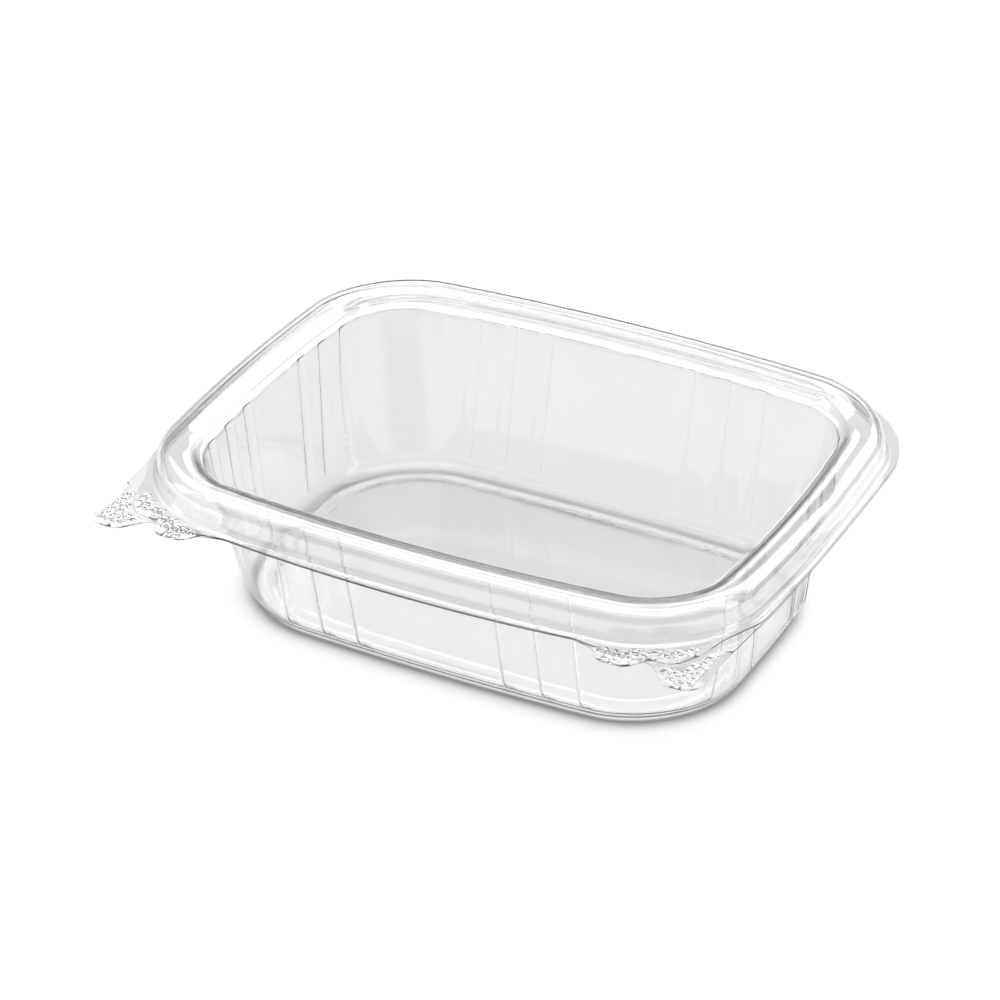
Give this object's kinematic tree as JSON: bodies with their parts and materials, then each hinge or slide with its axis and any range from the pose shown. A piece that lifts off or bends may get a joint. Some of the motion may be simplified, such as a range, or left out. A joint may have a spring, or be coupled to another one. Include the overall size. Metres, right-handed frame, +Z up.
{
  "type": "hinged clear takeaway container",
  "caption": "Clear rectangular takeaway container: ribbed tapered tray, raised-rim lid hinged along the back, knurled pull tabs at the front corners.",
  "frame": {"origin": "centre of the plan, tabs and hinge land included, on the surface the tray stands on", "axes": "+X along the long side, +Y towards the hinge, +Z up"},
  "size_m": [0.1646, 0.1424, 0.0459],
  "materials": {
    "clear_sheet": "clear thermoformed sheet, glossy"
  },
  "bodies": {
    "tray": {"base_tray": "clear_sheet"},
    "lid": {"lid": "clear_sheet"}
  },
  "joints": [
    {"name": "lid_hinge", "type": "hinge", "parent": "tray", "child": "lid", "pos_m": [0, 0.0715, 0.03755], "axis": [-1, 0, 0], "range_deg": [0, 180]}
  ]
}
